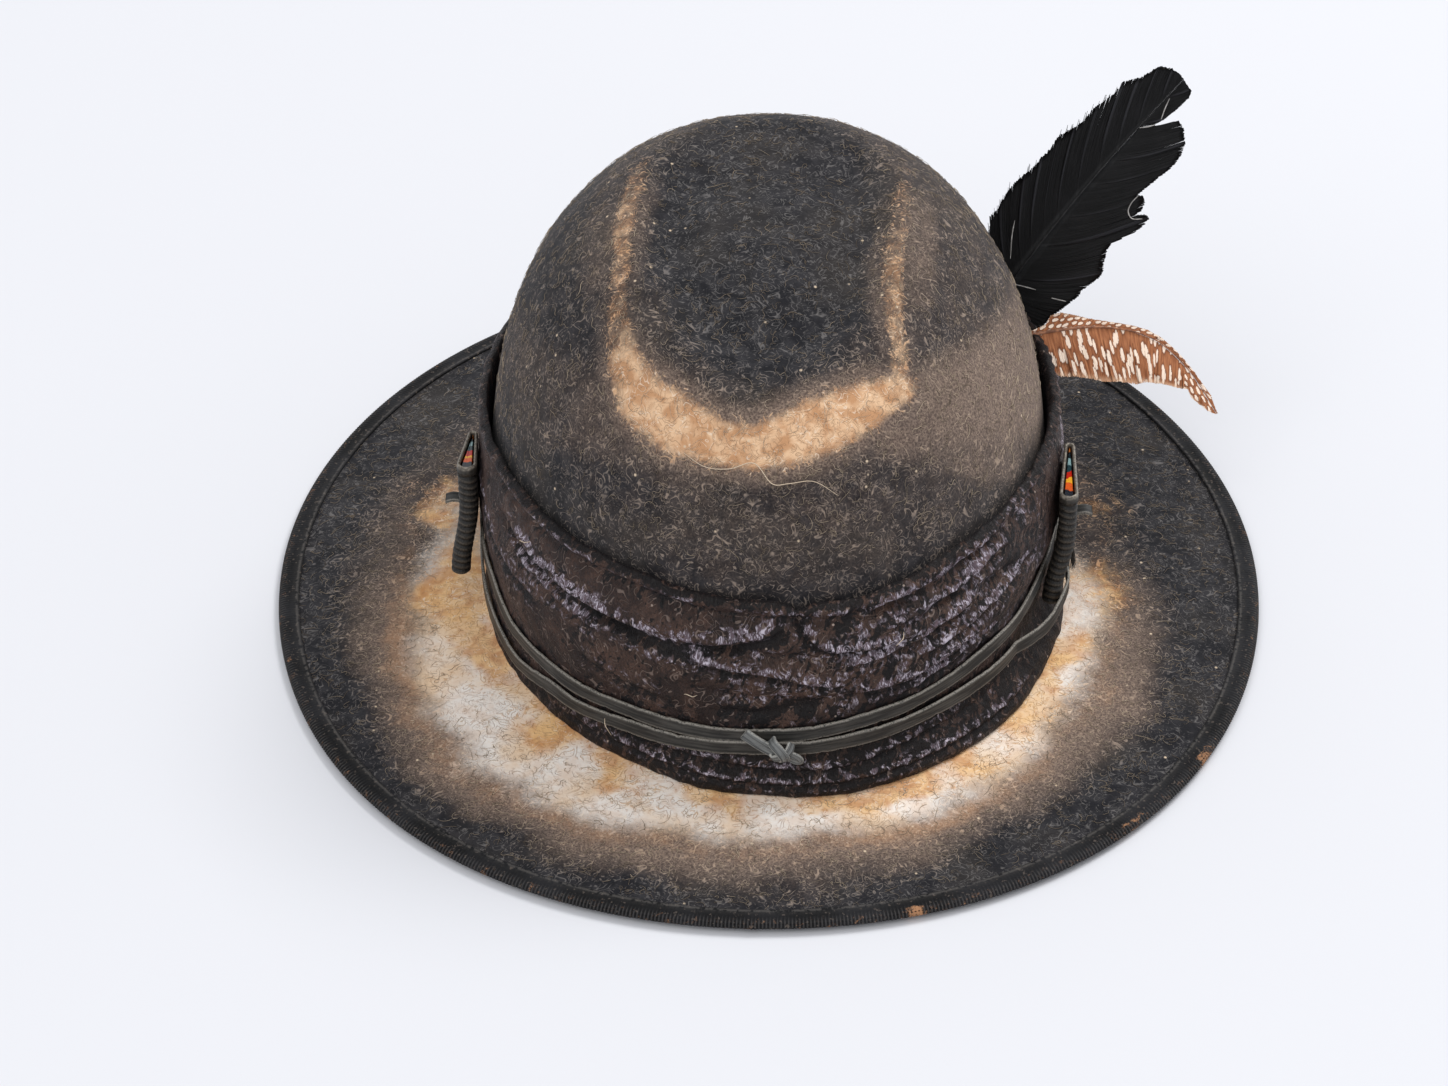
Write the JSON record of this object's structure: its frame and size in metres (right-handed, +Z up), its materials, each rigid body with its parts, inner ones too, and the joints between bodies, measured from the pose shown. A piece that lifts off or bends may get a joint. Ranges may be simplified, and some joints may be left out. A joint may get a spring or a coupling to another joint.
{
  "type": "western hat with wrapped band and feathers",
  "caption": "Felt western hat with an oval brim, bound edge, wide velvet wrap, thin laces, wound side ornaments and feathers, hollow for a head.",
  "frame": {"origin": "middle of the brim's oval outline, on the surface the brim rests on", "axes": "+Z up out of the crown, -Y the wearer's front, +Y the back and the longest way of the brim, +X the side with the feathers"},
  "size_m": [0.31, 0.338, 0.1552],
  "materials": {
    "felt": "matt",
    "binding_ribbon": "ribbed",
    "velvet": "crushed velvet",
    "lace_leather": "satin",
    "dark_leather": "satin",
    "rim_metal": "worn",
    "inlay_resin": "polished",
    "black_feather": "soft sheen",
    "brown_feather": "soft sheen"
  },
  "bodies": {
    "root": {"felt_body": "felt", "brim_binding": "binding_ribbon", "hat_band": "velvet", "lace_upper": "lace_leather", "lace_lower": "lace_leather", "lace_knot": "lace_leather", "plaque_left": "dark_leather", "plaque_rim_left": "rim_metal", "inlay_left": "inlay_resin", "plaque_right": "dark_leather", "plaque_rim_right": "rim_metal", "inlay_right": "inlay_resin", "lace_end_left": "lace_leather", "lace_end_right": "lace_leather", "tassel_right": "dark_leather", "feather_black": "black_feather", "feather_spotted": "brown_feather"}
  },
  "joints": []
}
